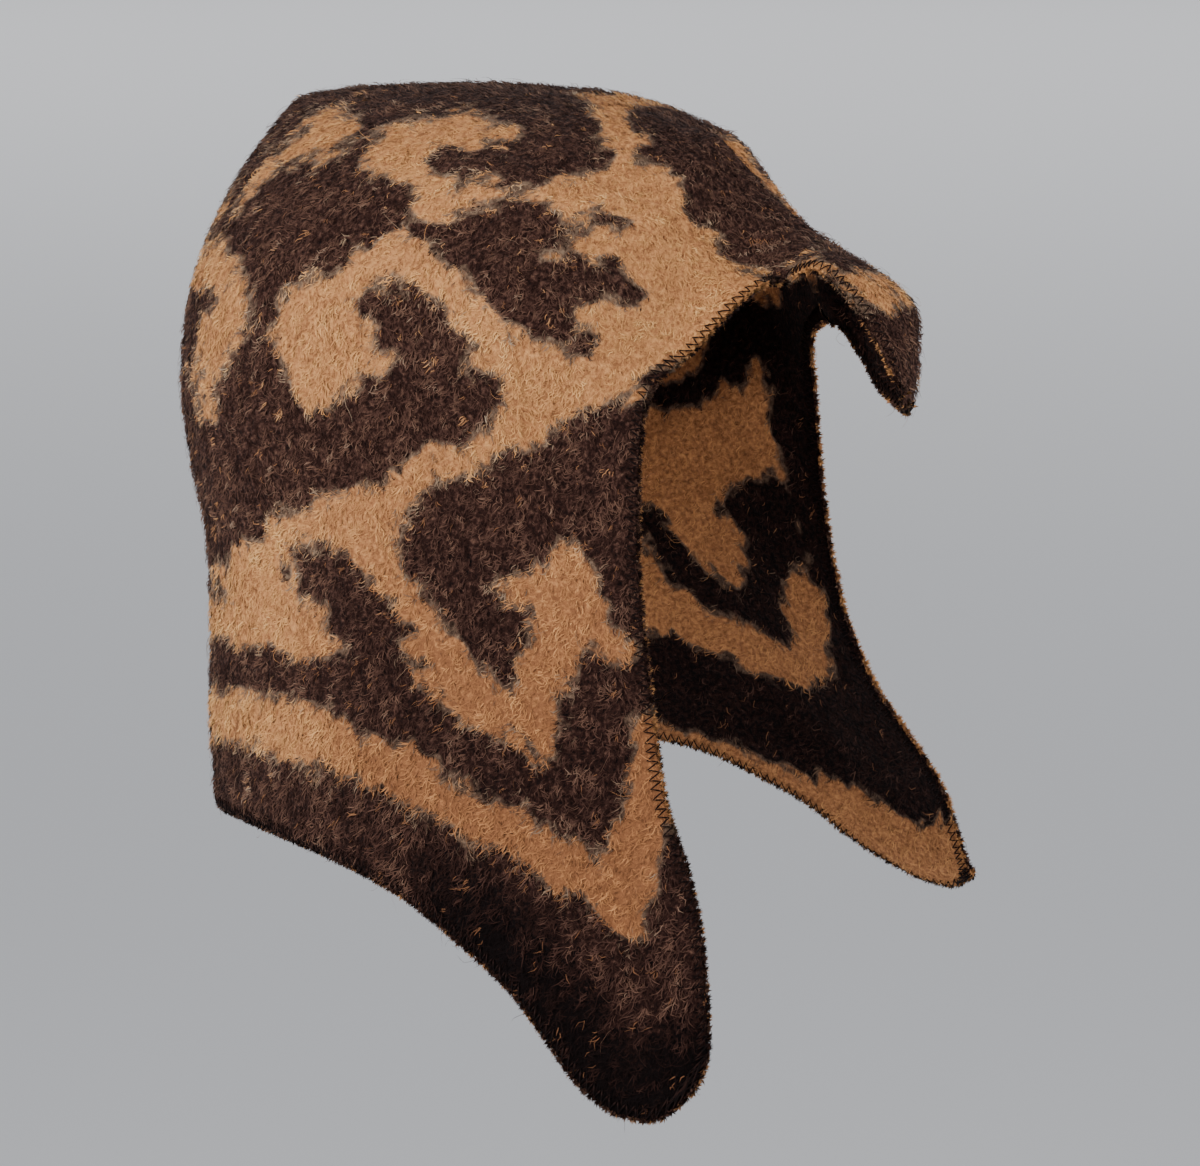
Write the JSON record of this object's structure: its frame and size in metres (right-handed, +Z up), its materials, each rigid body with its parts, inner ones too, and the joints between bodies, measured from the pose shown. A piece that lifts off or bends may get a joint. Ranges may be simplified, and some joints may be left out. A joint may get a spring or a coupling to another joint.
{
  "type": "sauna hat",
  "caption": "Soft blanket-wool sauna hat with a rounded crown, a small twisted pointed peak and long ear flaps that flare below the jaw.",
  "frame": {"origin": "the inside of the crown, in the middle plane, where the top of a head touches it", "axes": "+Z up, -Y the way the wearer faces, +X the wearer's left"},
  "size_m": [0.255, 0.2395, 0.2757],
  "materials": {
    "blanket_right": "thick napped wool blanket cloth, dark brown and tan ornament, colours reversed on the inside",
    "blanket_left": "the same cloth, cut to the mirrored pattern",
    "edge_thread": "dark brown zigzag sewing thread along the free edges"
  },
  "bodies": {
    "root": {"side_panel_right": "blanket_right", "side_panel_left": "blanket_left"}
  },
  "joints": []
}
